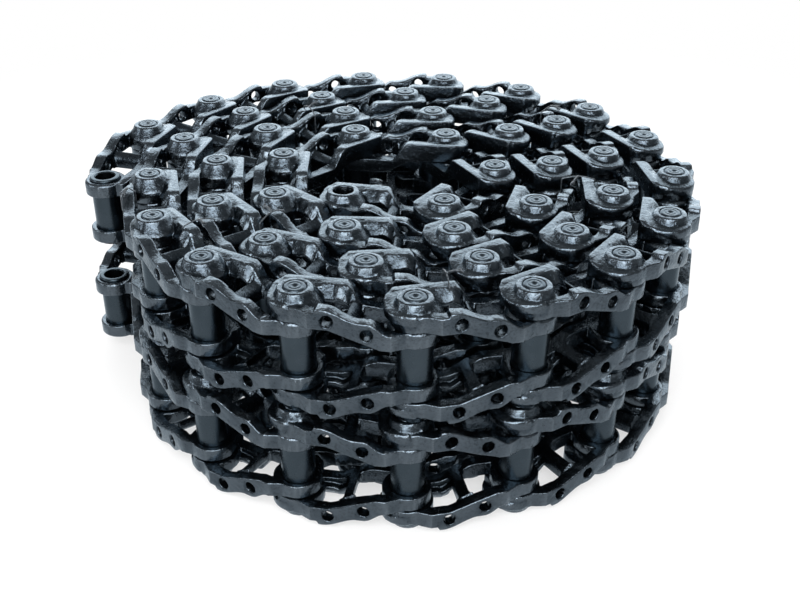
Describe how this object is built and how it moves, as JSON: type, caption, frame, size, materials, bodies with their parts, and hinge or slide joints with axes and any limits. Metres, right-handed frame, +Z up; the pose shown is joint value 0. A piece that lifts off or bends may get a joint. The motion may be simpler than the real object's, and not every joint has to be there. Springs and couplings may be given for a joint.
{
  "type": "excavator track chain",
  "caption": "Stacked flat coils of steel excavator track chain: forged offset links on pressed pins and bushings, hinged free ends, shoe bolt holes facing out.",
  "frame": {"origin": "middle of the object's box, on the floor that the coils lie on", "axes": "+Z up along the pins; the first section of each free outer end lies along +Y with its shoe face towards -X"},
  "size_m": [1.2081, 1.1486, 0.4424],
  "materials": {
    "forged_link": "dark blue-grey dip paint over forged and hardened steel, glossy, with a pebbled skin",
    "bushing": "smooth ground steel under the same dark paint",
    "pin": "turned steel, its ends painted with the chain",
    "seal": "black seal ring",
    "tie_wire": "annealed steel tie wire"
  },
  "bodies": {
    "wound_coils": {"lower_coil_left_links": "forged_link", "lower_coil_right_links": "forged_link", "lower_coil_bushings": "bushing", "lower_coil_pins": "pin", "lower_coil_seals": "seal", "upper_coil_left_links": "forged_link", "upper_coil_right_links": "forged_link", "upper_coil_bushings": "bushing", "upper_coil_pins": "pin", "upper_coil_seals": "seal", "tie_wires": "tie_wire"},
    "lower_end1": {"lower_end1_left_link": "forged_link", "lower_end1_right_link": "forged_link", "lower_end1_bushing": "bushing", "lower_end1_pin": "pin", "lower_end1_seals": "seal"},
    "lower_end2": {"lower_end2_left_link": "forged_link", "lower_end2_right_link": "forged_link", "lower_end2_bushing": "bushing", "lower_end2_pin": "pin", "lower_end2_seals": "seal"},
    "lower_end3": {"lower_end3_left_link": "forged_link", "lower_end3_right_link": "forged_link", "lower_end3_bushing": "bushing", "lower_end3_pin": "pin", "lower_end3_seals": "seal"},
    "lower_end4": {"lower_end4_left_link": "forged_link", "lower_end4_right_link": "forged_link", "lower_end4_bushing": "bushing", "lower_end4_pin": "pin", "lower_end4_seals": "seal"},
    "lower_inner": {"lower_inner_left_link": "forged_link", "lower_inner_right_link": "forged_link", "lower_inner_bushing": "bushing"},
    "upper_end1": {"upper_end1_left_link": "forged_link", "upper_end1_right_link": "forged_link", "upper_end1_bushing": "bushing", "upper_end1_pin": "pin", "upper_end1_seals": "seal"},
    "upper_end2": {"upper_end2_left_link": "forged_link", "upper_end2_right_link": "forged_link", "upper_end2_bushing": "bushing", "upper_end2_pin": "pin", "upper_end2_seals": "seal"},
    "upper_end3": {"upper_end3_left_link": "forged_link", "upper_end3_right_link": "forged_link", "upper_end3_bushing": "bushing", "upper_end3_pin": "pin", "upper_end3_seals": "seal"},
    "upper_end4": {"upper_end4_left_link": "forged_link", "upper_end4_right_link": "forged_link", "upper_end4_bushing": "bushing", "upper_end4_pin": "pin", "upper_end4_seals": "seal"},
    "upper_inner": {"upper_inner_left_link": "forged_link", "upper_inner_right_link": "forged_link", "upper_inner_bushing": "bushing"}
  },
  "joints": [
    {"name": "lower_end4_hinge", "type": "hinge", "parent": "wound_coils", "child": "lower_end4", "pos_m": [-0.21327, 0.4787, 0.1105], "axis": [0, 0, -1], "range_deg": [0, 50]},
    {"name": "lower_end3_hinge", "type": "hinge", "parent": "lower_end4", "child": "lower_end3", "pos_m": [-0.37314, 0.37604, 0.1105], "axis": [0, 0, -1], "range_deg": [0, 50]},
    {"name": "lower_end2_hinge", "type": "hinge", "parent": "lower_end3", "child": "lower_end2", "pos_m": [-0.49009, 0.2263, 0.1105], "axis": [0, 0, -1], "range_deg": [0, 50]},
    {"name": "lower_end1_hinge", "type": "hinge", "parent": "lower_end2", "child": "lower_end1", "pos_m": [-0.55162, 0.04653, 0.1105], "axis": [0, 0, -1], "range_deg": [0, 50]},
    {"name": "lower_inner_hinge", "type": "hinge", "parent": "wound_coils", "child": "lower_inner", "pos_m": [0.14512, -0.146, 0.1105], "axis": [0, 0, -1], "range_deg": [0, 20]},
    {"name": "upper_end4_hinge", "type": "hinge", "parent": "wound_coils", "child": "upper_end4", "pos_m": [-0.20327, 0.4817, 0.3319], "axis": [0, 0, -1], "range_deg": [0, 50]},
    {"name": "upper_end3_hinge", "type": "hinge", "parent": "upper_end4", "child": "upper_end3", "pos_m": [-0.36314, 0.37904, 0.3319], "axis": [0, 0, -1], "range_deg": [0, 50]},
    {"name": "upper_end2_hinge", "type": "hinge", "parent": "upper_end3", "child": "upper_end2", "pos_m": [-0.48009, 0.2293, 0.3319], "axis": [0, 0, -1], "range_deg": [0, 50]},
    {"name": "upper_end1_hinge", "type": "hinge", "parent": "upper_end2", "child": "upper_end1", "pos_m": [-0.54162, 0.04954, 0.3319], "axis": [0, 0, -1], "range_deg": [0, 50]},
    {"name": "upper_inner_hinge", "type": "hinge", "parent": "wound_coils", "child": "upper_inner", "pos_m": [0.15512, -0.143, 0.3319], "axis": [0, 0, -1], "range_deg": [0, 20]}
  ]
}
